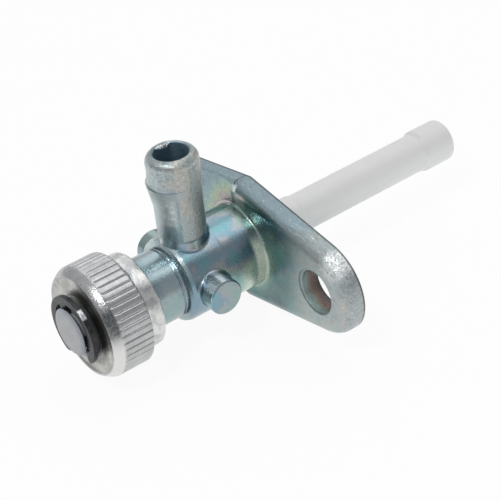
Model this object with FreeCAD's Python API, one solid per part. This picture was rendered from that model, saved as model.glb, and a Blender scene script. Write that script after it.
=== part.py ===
import FreeCAD, Part
import math
import os

# Screw-down fuel tap with a two-hole flange, a hose spigot and a knurled knob.
# Millimetres. The origin is the centre of the flange's back face, which bolts to the tank.
# +Y runs along the standpipe into the tank, +X along the two bolt holes, +Z up the hose spigot.

V = FreeCAD.Vector

# Flange
boltSpacing = 34.0
boltHoleD = 6.5
boltHoleChamfer = 0.25
earR = 7.0
flangeHalfHeight = 10.1
flangeCornerR = 1.4
flangeT = 3.1
rightEdgeR = 1.9
leftEdgeR = 0.9
saddleStep = 0.55
saddleX = -1.0
saddleEdgeR = 0.2
saddleR = 34.0
saddleDip = 0.45

# Barrel and neck of the casting, as lengths that follow each other from the spigot's axis forwards
barrelD = 12.8
barrelNoseL = 3.7
barrelChamfer = 0.65
barrelChamferL = 0.8
neckD = 10.6
ringGrooveL = 0.7
ringW = 0.22
ringGrooveD = 9.9
neckL = 5.2
threadD = 9.5
threadL = 5.1
neckBoreD = 7.0
chamberD = 8.4
chamberLead = 0.1
seatY = -4.9
seatLipH = 0.4
seatLipW = 0.5
inletD = 3.8

# Hose spigot
spigotY = -12.6
spigotD = 7.0
spigotTopZ = 20.1
spigotBoreD = 5.1
barbZ = 15.6
barbD = 7.56
barbSkirtD = 7.8
barbSkirtL = 3.7
barbSkirtShift = 0.25
barbStepD = 7.65
barbStepShift = 0.15
barbTurn = -127.0
barbLandZ = 17.3
barbLandH = 1.1
lipBulge = 0.19
mouthChamfer = 0.2

# Cross bosses
bossD = 5.3
bossReach = 9.2
bossChamfer = 0.2

# Blends of the casting
barrelBlendR = 0.45
spigotBlendR = 0.6
bossBlendR = 0.45

# Tank seal in the flange's back face
tankSealD = 12.0
tankSealCord = 1.6
tankGrooveDepth = 1.65
tankGrooveSlack = 0.05

# Standpipe
pipeD = 5.9
pipeBoreD = 4.2
pipeSeatDepth = 3.0
pipeRootD = 6.3
pipeRootL = 7.1
bellY = 31.0
bellD = 6.6
bellL = 5.3
bellTaper = 0.5
bellBoreD = 5.4
bellBoreDepth = 1.6
bellEdgeR = 0.6
pipeFit = 0.01

# Strainer disc in the standpipe's mouth
strainerT = 0.3
strainerRimW = 0.45
strainerRimT = 0.9
strainerFit = 0.01

# Plunger
travel = 2.0
stopGap = 0.2
headD = 7.2
headProud = 0.65
headEdgeR = 0.35
clipT = 0.7
clipGrooveD = 5.0
journalD = 7.1
shoulderD = 8.8
shoulderT = 0.75
landRunFit = 0.08
landTailL = 2.6
stemD = 3.4
stemSealGrooveD = 4.8
stemSealW = 1.3
stemSealInset = 2.7
stemSealPitch = 4.7
padHolderD = 4.6
padD = 5.8
padT = 1.5
padPinD = 2.0

# Seals on the plunger
sealFit = 0.03

# Clip
clipOD = 10.5
clipWindowD = 8.3
clipOpening = 3.4
clipOpeningAngle = -68.0
clipProngSpread = 62.0
clipProngHalf = 11.0
clipFit = 0.02
clipFaceGap = 0.05

# Knob
knurlD = 16.9
knurlL = 5.0
knobFaceD = 14.4
knobRimD = 15.2
knobRimProud = 0.35
knobBrowL = 1.1
hubD = 9.0
hubProud = 1.2
hubEdge = 0.2
collarD = 14.2
collarL = 2.8
collarEdgeR = 0.3
collarRootD = 14.8
collarRootL = 0.5
knurlRearChamfer = 0.35
knobBoreFit = 0.08
threadFit = 0.05
journalFit = 0.05
webT = 1.4
knurlCount = 48
knurlGrooveW = 0.42
knurlGrooveDepth = 0.3

# Stations along the main axis, worked out from the lengths above
barrelFrontY = spigotY - barrelNoseL
neckY = barrelFrontY - ringGrooveL
neckShoulderY = neckY - neckL
neckEndY = neckShoulderY - threadL
chamberFrontY = barrelFrontY + chamberLead
shoulderFrontY = neckEndY - stopGap - travel - shoulderT
hubRearY = shoulderFrontY - clipFaceGap
hubFrontY = hubRearY - webT
clipBackY = hubFrontY - clipFaceGap
clipFrontY = clipBackY - clipT
headFrontY = clipFrontY - headProud
stemSealFrontY = neckEndY + stemSealInset
stemSealRearY = stemSealFrontY + stemSealPitch
landRearY = stemSealRearY + landTailL
knobFaceY = hubFrontY + hubProud
knurlFrontY = knobFaceY + knobBrowL
knurlRearY = knurlFrontY + knurlL
collarRearY = knurlRearY + collarL


def turned(points, centre=V(0, 0, 0), axis=V(0, 1, 0)):
    """Solid turned from radius and station pairs, closed on its axis.
    Four numbers make an arc through the first pair to the second."""
    across = V(1, 0, 0)

    def spot(r, s):
        return centre + across * r + axis * s

    edges = []
    last = spot(*points[0])
    for p in points[1:] + points[:1]:
        end = spot(*p[-2:])
        if len(p) == 4:
            edges.append(Part.Arc(last, spot(p[0], p[1]), end).toShape())
        else:
            edges.append(Part.makeLine(last, end))
        last = end
    return Part.Face(Part.Wire(edges)).revolve(centre, axis, 360)


def roundOver(r0, s0, r1, s1, bulge):
    """Arc for turned() from one point to another, swelling to the left of the way along it."""
    dr = r1 - r0
    ds = s1 - s0
    return ((r0 + r1) / 2 - ds * bulge, (s0 + s1) / 2 + dr * bulge, r1, s1)


def tube(outerD, innerD, y0, y1):
    outer = Part.makeCylinder(outerD / 2, y1 - y0, V(0, y0, 0), V(0, 1, 0))
    inner = Part.makeCylinder(innerD / 2, y1 - y0, V(0, y0, 0), V(0, 1, 0))
    return outer.cut(inner)


def ring(meanR, sectionR, y):
    return Part.makeTorus(meanR, sectionR, V(0, y, 0), V(0, 1, 0))


def onRim(edge, r, y, tol=0.01):
    """True for a circle of this radius about the main axis at this station."""
    c = edge.Curve
    if not hasattr(c, "Radius") or not hasattr(c, "Center"):
        return False
    same = abs(c.Radius - r) < tol and abs(c.Center.y - y) < tol
    return same and abs(c.Center.x) < tol and abs(c.Center.z) < tol


def save(shape, node):
    shape.exportStep(os.path.join("parts", node + ".step"))
    print(node, "solids", len(shape.Solids), "valid", shape.isValid(), "volume", round(shape.Volume, 2))


# Flange outline: two round ears joined by straight sides that meet in corners above and below
def flangeOutline():
    cx = boltSpacing / 2
    reach = math.hypot(cx, flangeHalfHeight)
    lean = math.atan2(flangeHalfHeight, -cx) - math.acos(earR / reach)
    tx = earR * math.cos(lean)
    tz = earR * math.sin(lean)
    right = V(cx, 0, 0)
    left = V(-cx, 0, 0)
    top = V(0, 0, flangeHalfHeight)
    low = V(0, 0, -flangeHalfHeight)
    edges = [
        Part.makeLine(top, right + V(tx, 0, tz)),
        Part.Arc(right + V(tx, 0, tz), right + V(earR, 0, 0), right + V(tx, 0, -tz)).toShape(),
        Part.makeLine(right + V(tx, 0, -tz), low),
        Part.makeLine(low, left + V(-tx, 0, -tz)),
        Part.Arc(left + V(-tx, 0, -tz), left + V(-earR, 0, 0), left + V(-tx, 0, tz)).toShape(),
        Part.makeLine(left + V(-tx, 0, tz), top),
    ]
    return Part.Face(Part.Wire(edges))


def frontEdges(shape, y, keepOutX):
    """Edges of the front face, apart from the one on the parting line."""
    found = []
    for e in shape.Edges:
        ys = [v.Point.y for v in e.Vertexes]
        xs = [v.Point.x for v in e.Vertexes]
        if max(abs(t - y) for t in ys) > 1e-4:
            continue
        if max(abs(t - keepOutX) for t in xs) < 1e-4:
            continue
        found.append(e)
    return found


def onStep(edge):
    """True for the straight edge where the thicker half's front face ends at the step."""
    pts = [v.Point for v in edge.Vertexes]
    return all(abs(p.x - saddleX) < 1e-4 and abs(p.y + flangeT) < 1e-4 for p in pts)


def buildFlange():
    outline = flangeOutline()
    plate = outline.extrude(V(0, -flangeT, 0))
    upright = []
    for e in plate.Edges:
        pts = [v.Point for v in e.Vertexes]
        if len(pts) == 2 and all(abs(p.x) < 1e-6 for p in pts):
            upright.append(e)
    plate = plate.makeFillet(flangeCornerR, upright)
    wide = boltSpacing + 4 * earR
    deep = 4 * flangeT
    rightHalf = plate.common(Part.makeBox(wide, deep, wide, V(saddleX, -2 * flangeT, -wide / 2)))
    rightHalf = rightHalf.makeFillet(rightEdgeR, frontEdges(rightHalf, -flangeT, saddleX))
    rightHalf = rightHalf.makeFillet(saddleEdgeR, [e for e in rightHalf.Edges if onStep(e)])
    leftT = flangeT - saddleStep
    leftBox = Part.makeBox(wide, 2 * leftT, wide, V(saddleX - wide, -leftT, -wide / 2))
    leftHalf = plate.common(leftBox)
    leftHalf = leftHalf.makeFillet(leftEdgeR, frontEdges(leftHalf, -leftT, saddleX))
    dipX = saddleX - math.sqrt(2 * saddleR * saddleDip)
    dipY = -(leftT - saddleDip) - saddleR
    dip = Part.makeCylinder(saddleR, wide, V(dipX, dipY, -wide / 2), V(0, 0, 1))
    leftHalf = leftHalf.cut(dip)
    return rightHalf.fuse(leftHalf)


def seamPoints(edge):
    """Five points spread along an edge."""
    a = edge.FirstParameter
    b = edge.LastParameter
    return [edge.valueAt(a + (b - a) * k / 4.0) for k in range(5)]


def blend(body, radius, where):
    """Rounds the inside corner where something meets the barrel."""
    chosen = []
    for e in body.Edges:
        pts = seamPoints(e)
        if max(abs(math.hypot(p.x, p.z) - barrelD / 2) for p in pts) > 0.005:
            continue
        fromSpigot = max(abs(math.hypot(p.x, p.y - spigotY) - spigotD / 2) for p in pts)
        fromBoss = max(abs(math.hypot(p.z, p.y - spigotY) - bossD / 2) for p in pts)
        if where == "spigot" and fromSpigot < 0.01 and min(p.z for p in pts) > 0:
            chosen.append(e)
        if where == "boss" and fromBoss < 0.01:
            chosen.append(e)
    print("blend", where, len(chosen), "edges")
    return body.makeFillet(radius, chosen)


def skewed(z0, d0, shift0, z1, d1, shift1):
    """Round taper about the spigot whose ends lean towards the knob, as the die halves left it."""
    a = math.radians(barbTurn)
    lean = V(math.cos(a), math.sin(a), 0)
    up = V(0, 0, 1)
    low = Part.makeCircle(d0 / 2, V(0, spigotY, z0) + lean * shift0, up)
    high = Part.makeCircle(d1 / 2, V(0, spigotY, z1) + lean * shift1, up)
    return Part.makeLoft([Part.Wire(low), Part.Wire(high)], True, True)


# Hose spigot: stem, skirt under the barb, barb and a rolled lip
def buildSpigot():
    r = spigotD / 2
    landTopZ = barbLandZ + barbLandH
    mouthR = spigotBoreD / 2 + mouthChamfer
    stem = turned([
        (0, 0),
        (r, 0),
        (r, barbLandZ),
        (barbD / 2, barbLandZ),
        (barbD / 2, landTopZ),
        roundOver(barbD / 2, landTopZ, mouthR, spigotTopZ, -lipBulge),
        (0, spigotTopZ),
    ], V(0, spigotY, 0), V(0, 0, 1))
    skirt = skewed(barbZ - barbSkirtL, spigotD, 0, barbZ, barbSkirtD, barbSkirtShift)
    step = skewed(barbZ, barbStepD, barbStepShift, barbLandZ, barbD, 0)
    return [stem, skirt, step]


def buildBody():
    flange = buildFlange()
    barrelR = barrelD / 2
    neckR = neckD / 2
    threadR = threadD / 2
    grooveR = ringGrooveD / 2
    groove = neckY
    step = (barrelFrontY - neckY - ringW) / 2
    cornerX = barrelR + barrelBlendR
    cornerY = -flangeT - barrelBlendR
    lean = math.sqrt(0.5) * barrelBlendR
    barrel = turned([
        (0, neckEndY),
        (threadR - 0.4, neckEndY),
        (threadR, neckEndY + 0.4),
        (threadR, neckShoulderY),
        (neckR - 0.3, neckShoulderY),
        (neckR, neckShoulderY + 0.3),
        (neckR, groove - 0.12),
        (neckR - 0.12, groove),
        (grooveR, groove),
        (grooveR, groove + step),
        (grooveR + 0.3, groove + step),
        (grooveR + 0.3, groove + step + ringW),
        (grooveR, groove + step + ringW),
        (grooveR, barrelFrontY),
        (barrelR - barrelChamfer, barrelFrontY),
        (barrelR - barrelChamfer * 0.3, barrelFrontY + barrelChamferL * 0.35),
        (barrelR, barrelFrontY + barrelChamferL),
        (barrelR, cornerY),
        (cornerX - lean, cornerY + lean, cornerX, -flangeT),
        (cornerX, -flangeT / 2),
        (0, -flangeT / 2),
    ])
    barrel.rotate(V(0, 0, 0), V(0, 1, 0), 50)
    spigot = buildSpigot()
    cross = turned([
        (0, -bossReach),
        (bossD / 2 - bossChamfer, -bossReach),
        (bossD / 2, -bossReach + bossChamfer),
        (bossD / 2, bossReach - bossChamfer),
        (bossD / 2 - bossChamfer, bossReach),
        (0, bossReach),
    ], V(0, 0, 0), V(0, 1, 0))
    cross.rotate(V(0, 0, 0), V(0, 0, 1), -90)
    cross.translate(V(0, spigotY, 0))
    body = flange.fuse([barrel, cross] + spigot)
    body = blend(body, spigotBlendR, "spigot")
    return blend(body, bossBlendR, "boss")


def cutBody(body):
    chamber = turned([
        (0, neckEndY - 1),
        (neckBoreD / 2, neckEndY - 1),
        (neckBoreD / 2, chamberFrontY),
        (chamberD / 2, chamberFrontY + (chamberD - neckBoreD) / 2),
        (chamberD / 2, seatY),
        (inletD / 2 + seatLipW, seatY),
        (inletD / 2 + seatLipW * 0.6, seatY - seatLipH),
        (inletD / 2, seatY - seatLipH),
        (inletD / 2, -pipeSeatDepth),
        (pipeD / 2 + pipeFit, -pipeSeatDepth),
        (pipeD / 2 + pipeFit, 1),
        (0, 1),
    ])
    boreR = spigotBoreD / 2
    outlet = turned([
        (0, 0),
        (boreR, 0),
        (boreR, spigotTopZ - mouthChamfer),
        (boreR + mouthChamfer, spigotTopZ),
        (boreR + mouthChamfer, spigotTopZ + 1),
        (0, spigotTopZ + 1),
    ], V(0, spigotY, 0), V(0, 0, 1))
    sealOuter = tankSealD + tankSealCord + 2 * tankGrooveSlack
    sealInner = tankSealD - tankSealCord - 2 * tankGrooveSlack
    sealGroove = tube(sealOuter, sealInner, -tankGrooveDepth, 0.5)
    cutters = [chamber, outlet, sealGroove]
    for side in (-1, 1):
        frontY = -flangeT if side > 0 else saddleStep - flangeT
        cutters.append(turned([
            (0, 1),
            (boltHoleD / 2, 1),
            (boltHoleD / 2, frontY + boltHoleChamfer),
            (boltHoleD / 2 + boltHoleChamfer, frontY),
            (boltHoleD / 2 + boltHoleChamfer, frontY - 1),
            (0, frontY - 1),
        ], V(side * boltSpacing / 2, 0, 0)))
    return body.cut(cutters)


# Seals: rings of round cord, squeezed to the depth of their grooves
def buildTankSeal():
    return ring(tankSealD / 2, tankSealCord / 2, -tankSealCord / 2)


def buildStemSeal(y):
    outerR = neckBoreD / 2 - sealFit
    innerR = stemSealGrooveD / 2 + sealFit
    return ring((outerR + innerR) / 2, (outerR - innerR) / 2, y)


# Standpipe: one moulding with a thicker root and a belled mouth
def buildStandpipe():
    endY = bellY + bellL
    pipe = turned([
        (0, -pipeSeatDepth),
        (pipeD / 2, -pipeSeatDepth),
        (pipeD / 2, 0),
        (pipeRootD / 2, 0),
        (pipeRootD / 2, pipeRootL - 0.3),
        (pipeD / 2, pipeRootL),
        (pipeD / 2, bellY - bellTaper / 2),
        (bellD / 2, bellY + bellTaper / 2),
        (bellD / 2, endY),
        (0, endY),
    ])
    mouth = [e for e in pipe.Edges if onRim(e, bellD / 2, endY)]
    pipe = pipe.makeFillet(bellEdgeR, mouth)
    bore = Part.makeCylinder(pipeBoreD / 2, endY + 2 * pipeSeatDepth, V(0, -2 * pipeSeatDepth, 0), V(0, 1, 0))
    socket = Part.makeCylinder(bellBoreD / 2, bellBoreDepth, V(0, endY - bellBoreDepth, 0), V(0, 1, 0))
    return pipe.cut([bore, socket])


# Strainer: a gauze disc in a thin rim, pressed to the bottom of the mouth's socket
def buildStrainer():
    backY = bellY + bellL - bellBoreDepth
    rim = tube(bellBoreD - 2 * strainerFit, bellBoreD - 2 * strainerFit - 2 * strainerRimW, backY, backY + strainerRimT)
    gauzeY = backY + (strainerRimT - strainerT) / 2
    gauze = Part.makeCylinder((bellBoreD - strainerRimW) / 2 - strainerFit, strainerT, V(0, gauzeY, 0), V(0, 1, 0))
    return rim.fuse(gauze)


# Plunger: head, clip groove, journal for the knob, guide land with two seal grooves, stem and pad holder
def buildPlunger():
    landR = neckBoreD / 2 - landRunFit
    grooveR = stemSealGrooveD / 2
    padBackY = seatY - seatLipH - travel
    padFrontY = padBackY - padT
    points = [
        (0, headFrontY),
        (headD / 2 - headEdgeR, headFrontY),
        roundOver(headD / 2 - headEdgeR, headFrontY, headD / 2, headFrontY + headEdgeR, -0.2),
        (headD / 2, clipFrontY - clipFit),
        (clipGrooveD / 2, clipFrontY - clipFit),
        (clipGrooveD / 2, clipBackY + clipFit),
        (journalD / 2, clipBackY + clipFit),
        (journalD / 2, shoulderFrontY),
        (shoulderD / 2, shoulderFrontY),
        (shoulderD / 2, shoulderFrontY + shoulderT),
        (landR, shoulderFrontY + shoulderT),
    ]
    for y in (stemSealFrontY, stemSealRearY):
        points += [
            (landR, y - stemSealW / 2),
            (grooveR, y - stemSealW / 2),
            (grooveR, y + stemSealW / 2),
            (landR, y + stemSealW / 2),
        ]
    points += [
        (landR, landRearY - 0.3),
        (landR - 0.3, landRearY),
        (stemD / 2, landRearY),
        (stemD / 2, padFrontY - 0.9),
        (padHolderD / 2, padFrontY - 0.9),
        (padHolderD / 2, padFrontY),
        (padPinD / 2, padFrontY),
        (padPinD / 2, padBackY - 0.25),
        (0, padBackY - 0.25),
    ]
    return turned(points)


# Seat pad: a rubber disc pushed on the plunger's end pin
def buildPad():
    padBackY = seatY - seatLipH - travel
    blank = Part.makeCylinder(padD / 2, padT, V(0, padBackY - padT, 0), V(0, 1, 0))
    pin = Part.makeCylinder(padPinD / 2, padT, V(0, padBackY - padT - 0.25, 0), V(0, 1, 0))
    return blank.cut(pin)


# Clip: an open ring with three inward prongs that sit in the plunger's groove
def buildClip():
    outer = Part.makeCylinder(clipOD / 2, clipT, V(0, clipFrontY, 0), V(0, 1, 0))
    window = Part.makeCylinder(clipWindowD / 2, clipT, V(0, clipFrontY, 0), V(0, 1, 0))
    seat = Part.makeCylinder(clipGrooveD / 2 + clipFit, clipT, V(0, clipFrontY, 0), V(0, 1, 0))
    band = outer.cut(window)
    prongs = []
    for middle in (180.0, clipProngSpread, -clipProngSpread):
        wedge = []
        for turn in (middle - clipProngHalf, middle + clipProngHalf):
            a = math.radians(turn)
            wedge.append(V(clipOD * math.cos(a), clipFrontY, clipOD * math.sin(a)))
        face = Part.Face(Part.makePolygon([V(0, clipFrontY, 0), wedge[0], wedge[1], V(0, clipFrontY, 0)]))
        prongs.append(face.extrude(V(0, clipT, 0)).common(outer).cut(seat))
    gap = Part.makeBox(clipOD, 3 * clipT, clipOpening, V(0, clipFrontY - clipT, -clipOpening / 2))
    clip = band.fuse(prongs).cut(gap).removeSplitter()
    tips = []
    for e in clip.Edges:
        pts = [v.Point for v in e.Vertexes]
        if len(pts) == 2 and abs(pts[0].x - pts[1].x) + abs(pts[0].z - pts[1].z) < 1e-6:
            if math.hypot(pts[0].x, pts[0].z) > clipOD / 2 - 0.01:
                tips.append(e)
    clip = clip.makeFillet(0.4, tips)
    clip.rotate(V(0, 0, 0), V(0, 1, 0), -clipOpeningAngle)
    return clip


# Knob: knurled grip, collar that runs over the neck, threaded bore and a hub that the clip bears on
def buildKnob():
    knurlR = knurlD / 2
    rimY = knobFaceY - knobRimProud
    rimR = knobRimD / 2
    outside = turned([
        (0, hubFrontY),
        (hubD / 2 - hubEdge, hubFrontY),
        (hubD / 2, hubFrontY + hubEdge),
        (hubD / 2, knobFaceY),
        (knobFaceD / 2, knobFaceY),
        roundOver(knobFaceD / 2, knobFaceY, rimR, rimY, -0.16),
        roundOver(rimR, rimY, knurlR, knurlFrontY, -0.2),
        (knurlR, knurlRearY - knurlRearChamfer),
        (knurlR - knurlRearChamfer, knurlRearY),
        (collarRootD / 2, knurlRearY),
        (collarD / 2, knurlRearY + collarRootL),
        (collarD / 2, collarRearY - collarEdgeR),
        roundOver(collarD / 2, collarRearY - collarEdgeR, collarD / 2 - collarEdgeR, collarRearY, -0.2),
        (0, collarRearY),
    ])
    boreR = neckD / 2 + knobBoreFit
    threadR = threadD / 2 + threadFit
    boreEndY = neckShoulderY - travel - 0.2
    inside = turned([
        (0, hubFrontY - 1),
        (journalD / 2 + journalFit, hubFrontY - 1),
        (journalD / 2 + journalFit, hubRearY),
        (threadR, hubRearY),
        (threadR, boreEndY),
        (boreR, boreEndY),
        (boreR, collarRearY - 0.25),
        (boreR + 0.25, collarRearY),
        (boreR + 0.25, collarRearY + 1),
        (0, collarRearY + 1),
    ])
    knob = outside.cut(inside)
    grooves = []
    for k in range(knurlCount):
        a = math.radians(360.0 * k / knurlCount)
        out = V(math.cos(a), 0, math.sin(a))
        side = V(-math.sin(a), 0, math.cos(a))
        start = V(0, knurlFrontY - 2 * knobBrowL, 0)
        rim = out * (knurlR + 0.1)
        floor = out * (knurlR - knurlGrooveDepth)
        wide = side * (knurlGrooveW / 2 * (knurlGrooveDepth + 0.1) / knurlGrooveDepth)
        vee = Part.Face(Part.makePolygon([start + rim + wide, start + floor, start + rim - wide, start + rim + wide]))
        grooves.append(vee.extrude(V(0, knurlL + 3 * knobBrowL, 0)))
    return knob.cut(grooves)


os.makedirs("parts", exist_ok=True)
save(cutBody(buildBody()), "valve_body")
save(buildTankSeal(), "tank_seal")
save(buildStandpipe(), "standpipe")
save(buildStrainer(), "strainer")
save(buildPlunger(), "plunger")
save(buildPad(), "seat_pad")
save(buildStemSeal(stemSealFrontY), "stem_seal_front")
save(buildStemSeal(stemSealRearY), "stem_seal_rear")
save(buildClip(), "e_clip")
save(buildKnob(), "knob")
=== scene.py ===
import bpy
import bmesh
import math
import random
from mathutils import Matrix, Vector


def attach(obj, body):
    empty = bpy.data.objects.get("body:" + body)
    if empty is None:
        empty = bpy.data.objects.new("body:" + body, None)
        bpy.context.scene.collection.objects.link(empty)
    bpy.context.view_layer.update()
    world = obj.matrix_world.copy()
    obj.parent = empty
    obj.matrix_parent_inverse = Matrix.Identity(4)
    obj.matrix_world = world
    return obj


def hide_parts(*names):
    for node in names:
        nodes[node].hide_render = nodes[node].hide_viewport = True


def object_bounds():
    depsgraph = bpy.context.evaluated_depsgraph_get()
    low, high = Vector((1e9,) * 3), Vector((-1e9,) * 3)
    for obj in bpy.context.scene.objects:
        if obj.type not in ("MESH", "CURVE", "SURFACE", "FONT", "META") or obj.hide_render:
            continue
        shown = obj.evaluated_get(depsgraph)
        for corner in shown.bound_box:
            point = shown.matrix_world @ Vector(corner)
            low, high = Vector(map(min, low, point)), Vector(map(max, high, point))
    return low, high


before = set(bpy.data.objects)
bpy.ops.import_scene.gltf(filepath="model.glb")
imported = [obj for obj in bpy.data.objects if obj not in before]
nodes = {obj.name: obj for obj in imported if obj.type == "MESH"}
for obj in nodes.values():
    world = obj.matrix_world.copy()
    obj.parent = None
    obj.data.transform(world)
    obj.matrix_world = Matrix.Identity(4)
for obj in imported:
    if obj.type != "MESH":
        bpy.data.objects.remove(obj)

# Fuel tap: dresses the CAD nodes with their finishes and builds the finer pieces.
# The scene is in metres. Forms and finishes are written in millimetres and scaled by mm.
mm = 0.001
weldReach = 0.000002
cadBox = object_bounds()
print("frame loaded:", len(nodes), "nodes")


# Small helpers for shader sums
class Wire:
    def __init__(self, finish, socket):
        self.finish = finish
        self.socket = socket

    def maths(self, operation, *values):
        return self.finish.maths(operation, *values)

    def __add__(self, other):
        return self.maths("ADD", self, other)

    def __radd__(self, other):
        return self.maths("ADD", other, self)

    def __sub__(self, other):
        return self.maths("SUBTRACT", self, other)

    def __rsub__(self, other):
        return self.maths("SUBTRACT", other, self)

    def __mul__(self, other):
        return self.maths("MULTIPLY", self, other)

    def __rmul__(self, other):
        return self.maths("MULTIPLY", other, self)

    def __truediv__(self, other):
        return self.maths("DIVIDE", self, other)

    def step(self, low, high):  # 0 at low, 1 at high, soft between; low may be the larger
        return self.finish.add("ShaderNodeMapRange", {"interpolation_type": "SMOOTHSTEP"}, (self, low, high))

    def root(self):
        return self.maths("SQRT", self)


class Finish:
    def __init__(self, name, holder=None):
        self.material = holder or bpy.data.materials.new(name)
        self.material.use_nodes = True
        self.tree = self.material.node_tree
        self.tree.nodes.clear()
        metres = self.add("ShaderNodeTexCoord", out="Object")
        self.place = self.add("ShaderNodeVectorMath", {"operation": "SCALE"}, {0: metres, "Scale": 1 / mm})
        self.x, self.y, self.z = (self.add("ShaderNodeSeparateXYZ", {}, (self.place,), k) for k in range(3))

    def add(self, kind, settings=None, inputs=(), out=0):
        made = self.tree.nodes.new(kind)
        for key, value in (settings or {}).items():
            if key == "stops":
                ramp = made.color_ramp
                while len(ramp.elements) < len(value):
                    ramp.elements.new(0.5)
                for element, (at, colour) in zip(ramp.elements, value):
                    element.position = at
                    element.color = (*colour, 1)
            else:
                setattr(made, key, value)
        for key, value in (inputs.items() if isinstance(inputs, dict) else enumerate(inputs)):
            if value is None:
                continue
            if isinstance(value, Wire):
                self.tree.links.new(value.socket, made.inputs[key])
            else:
                made.inputs[key].default_value = value
        return Wire(self, made.outputs[out]) if made.outputs else None

    def maths(self, operation, *values):
        return self.add("ShaderNodeMath", {"operation": operation}, values)

    def away(self, value):  # how far from zero
        return self.maths("ABSOLUTE", value)

    def far(self, across, up):  # distance from the line where both are zero
        return (across * across + up * up).root()

    def lean(self, a, b, shares):
        return a * shares[0] + b * shares[1]

    def spot(self, x, y, z):
        return self.add("ShaderNodeCombineXYZ", {}, (x, y, z))

    def noise(self, scale, detail=2.0, rough=0.5, warp=0.0, at=None):
        inputs = {"Vector": at or self.place, "Scale": scale, "Detail": detail, "Roughness": rough,
                  "Distortion": warp}
        return self.add("ShaderNodeTexNoise", {}, inputs)

    def cells(self, scale):
        return self.add("ShaderNodeTexVoronoi", {}, {"Vector": self.place, "Scale": scale}, "Distance")

    def ramp(self, value, stops):
        return self.add("ShaderNodeValToRGB", {"stops": stops}, (value,))

    def mix(self, share, a, b):
        a, b = ((*c, 1) if isinstance(c, tuple) else c for c in (a, b))
        return self.add("ShaderNodeMix", {"data_type": "RGBA"}, {0: share, 6: a, 7: b}, 2)

    def layers(self, base, coats):  # lays (share, colour) over each other in turn
        for share, colour in coats:
            base = self.mix(share, base, colour)
        return base

    def zones(self, limits, measures):  # for each name, the product of its soft limits
        found = {}
        for name, steps in limits.items():
            for measure, low, high in steps:
                step = measures[measure].step(low, high)
                found[name] = found[name] * step if name in found else step
        return found

    def backdropRays(self):  # 1 for the camera and for what metal and glass show
        kinds = "Camera", "Glossy", "Transmission"
        rays = [self.add("ShaderNodeLightPath", out="Is %s Ray" % kind) for kind in kinds]
        return (rays[0] + rays[1] + rays[2]).step(0.0, 1.0)

    def bump(self, height, strength, distance, under=None):
        inputs = {"Height": height, "Strength": strength, "Distance": distance * mm, "Normal": under}
        return self.add("ShaderNodeBump", {}, inputs)

    def close(self, **sockets):
        inputs = {key.replace("_", " "): value for key, value in sockets.items()}
        shader = self.add("ShaderNodeBsdfPrincipled", {}, inputs)
        self.add("ShaderNodeOutputMaterial", {}, {"Surface": shader})
        return self.material


def dress(node, material):
    for slot in nodes[node].material_slots:
        slot.material = material


# Small helpers for meshes
def addObject(name, data):
    made = bpy.data.objects.new(name, data)
    bpy.context.scene.collection.objects.link(made)
    return made


def pieceFrom(name, points, faces):
    mesh = bpy.data.meshes.new(name)
    mesh.from_pydata([Vector(p) * mm for p in points], [], faces)
    mesh.validate()
    return addObject(name, mesh)


def bakePiece(piece, name, crease):  # the evaluated mesh becomes the plain piece, modifiers gone
    bpy.context.view_layer.update()
    evaluated = piece.evaluated_get(bpy.context.evaluated_depsgraph_get())
    mesh = bpy.data.meshes.new_from_object(evaluated)
    mesh.name = name
    made = addObject(name, mesh)
    bpy.data.objects.remove(piece)
    sharpen(mesh, crease)
    return made


def sharpen(mesh, crease):  # welds points, turns faces outward, keeps edges sharp from the crease on
    form = bmesh.new()
    form.from_mesh(mesh)
    bmesh.ops.remove_doubles(form, verts=form.verts, dist=weldReach)
    bmesh.ops.recalc_face_normals(form, faces=form.faces)
    for edge in form.edges:
        edge.smooth = edge.calc_face_angle(0.0) < math.radians(crease)
    for face in form.faces:
        face.smooth = True
    form.to_mesh(mesh)
    form.free()


def around(r, y, turn):  # a point by its distance from the main axis, its place along it and its turn from +Z
    return r * math.sin(turn), y, r * math.cos(turn)


# (r, y) points turned about the main axis: an open outline starts and ends on it, a closed one makes a ring
def turnedPiece(name, outline, sides, crease, closed=False):
    points, rings, faces = [], [], []
    for r, y in outline:
        count = sides if r > 0 else 1
        rings.append(range(len(points), len(points) + count))
        points += [around(r, y, 2 * math.pi * k / sides) for k in range(count)]
    for near, far in zip(rings, rings[1:] + rings[:1] if closed else rings[1:]):
        for k in range(sides):
            n = (k + 1) % sides
            quad = [near[k % len(near)], near[n % len(near)], far[n % len(far)], far[k % len(far)]]
            faces.append(list(dict.fromkeys(quad)))
    piece = pieceFrom(name, points, faces)
    sharpen(piece.data, crease)
    return piece


def arcRun(r0, y0, r1, y1, bulge, steps):  # the points after the first on an arc from one point to the next
    rm, ym = (r0 + r1) / 2 - (y1 - y0) * bulge, (y0 + y1) / 2 + (r1 - r0) * bulge
    run = []
    for k in range(1, steps + 1):
        t = k / steps
        w = (1 - t) ** 2, 2 * t * (1 - t), t * t
        run.append((w[0] * r0 + w[1] * (2 * rm - (r0 + r1) / 2) + w[2] * r1,
                    w[0] * y0 + w[1] * (2 * ym - (y0 + y1) / 2) + w[2] * y1))
    return run


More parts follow.
